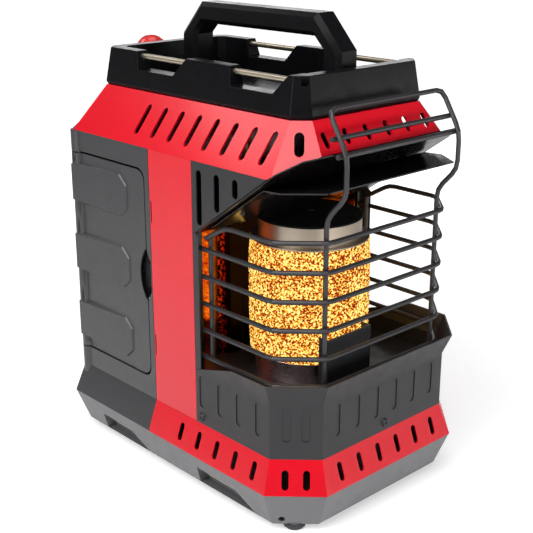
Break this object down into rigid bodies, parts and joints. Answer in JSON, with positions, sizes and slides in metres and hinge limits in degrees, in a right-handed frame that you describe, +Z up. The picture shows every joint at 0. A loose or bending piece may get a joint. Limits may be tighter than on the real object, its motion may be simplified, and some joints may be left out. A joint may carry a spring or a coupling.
{
  "type": "portable propane heater",
  "caption": "Portable radiant gas heater with a glowing mesh burner behind a wire guard, a cylinder bay with a hinged door, a top tray and a carry handle.",
  "frame": {"origin": "centre of the footprint on the ground", "axes": "+X to the right of the heater as its burner faces the viewer, -Y out of the burner front, +Z up"},
  "size_m": [0.2446, 0.3602, 0.4355],
  "materials": {
    "base_plastic": "satin moulded",
    "rubber": "matt",
    "nickel_rod": "satin, warm nickel tone",
    "zinc": "zinc plated",
    "red_metal": "gloss enamel",
    "grey_plastic": "fine-grained, matt",
    "black_metal": "satin enamel",
    "galvanised": "dull galvanised",
    "polished_steel": "polished",
    "burner_steel": "brushed, heat-darkened",
    "glowing_mesh": "woven wire, glowing orange in use",
    "cap_black": "matt high-temperature black",
    "guard_wire": "satin black",
    "black_plastic": "fine-grained, matt",
    "brass": "machined",
    "cast_metal": "cast",
    "ceramic": "glazed ceramic",
    "red_plastic": "gloss"
  },
  "bodies": {
    "body": {"base_tray": "base_plastic", "rubber_feet": "rubber", "base_rods": "nickel_rod", "tray_rods": "nickel_rod", "foot_screws": "zinc", "handle_screws": "zinc", "hinge_pin": "zinc", "front_skirt": "red_metal", "hood": "red_metal", "side_panel_left": "red_metal", "side_panel_right": "red_metal", "rear_skirt": "grey_plastic", "rear_housing": "grey_plastic", "front_shroud": "black_metal", "cheek_left": "black_metal", "cheek_right": "black_metal", "upper_reflector": "black_metal", "lower_reflector": "black_metal", "burner_pan": "black_metal", "shroud_screws": "black_metal", "pilot_bracket": "black_metal", "partition": "galvanised", "rear_reflector": "polished_steel", "burner_ring": "polished_steel", "burner_plenum": "burner_steel", "burner_core": "burner_steel", "burner_mesh": "glowing_mesh", "burner_cap": "cap_black", "guard_hoops": "guard_wire", "guard_uprights": "guard_wire", "guard_crossbars": "guard_wire", "guard_posts": "guard_wire", "guard_clips": "guard_wire", "top_tray": "black_plastic", "handle_left": "black_plastic", "handle_right": "black_plastic", "control_console": "black_plastic", "latch_cup": "black_plastic", "cylinder_cradle": "black_plastic", "tip_switch": "black_plastic", "igniter_body": "black_plastic", "gas_valve": "brass", "swivel_block": "brass", "supply_pipe": "brass", "burner_pipe": "brass", "thermocouple": "brass", "pilot_burner": "cast_metal", "spark_electrode": "ceramic"},
    "door": {"tank_door": "grey_plastic", "door_latch": "black_plastic"},
    "stem": {"valve_stem": "zinc"},
    "knob": {"control_knob": "red_plastic"},
    "button": {"igniter_button": "red_plastic"},
    "regulator": {"regulator": "cast_metal"}
  },
  "joints": [
    {"name": "door_hinge", "type": "hinge", "parent": "body", "child": "door", "pos_m": [-0.107, 0.1374, 0.195], "axis": [0, 0, -1], "range_deg": [0, 110]},
    {"name": "knob_push", "type": "slide", "parent": "body", "child": "stem", "axis": [0, 0, -1], "range_m": [0, 0.003], "stiffness_N_per_m": 600, "springref_m": -0.003},
    {"name": "knob_turn", "type": "hinge", "parent": "stem", "child": "knob", "pos_m": [-0.004, 0.1525, 0.38], "axis": [0, 0, 1], "range_deg": [0, 200]},
    {"name": "igniter_push", "type": "slide", "parent": "body", "child": "button", "axis": [0, 0, -1], "range_m": [0, 0.006], "stiffness_N_per_m": 500, "springref_m": -0.003},
    {"name": "regulator_swivel", "type": "hinge", "parent": "body", "child": "regulator", "pos_m": [-0.04, 0.092, 0.29], "axis": [0, 0, 1], "range_deg": [-40, 40]}
  ]
}
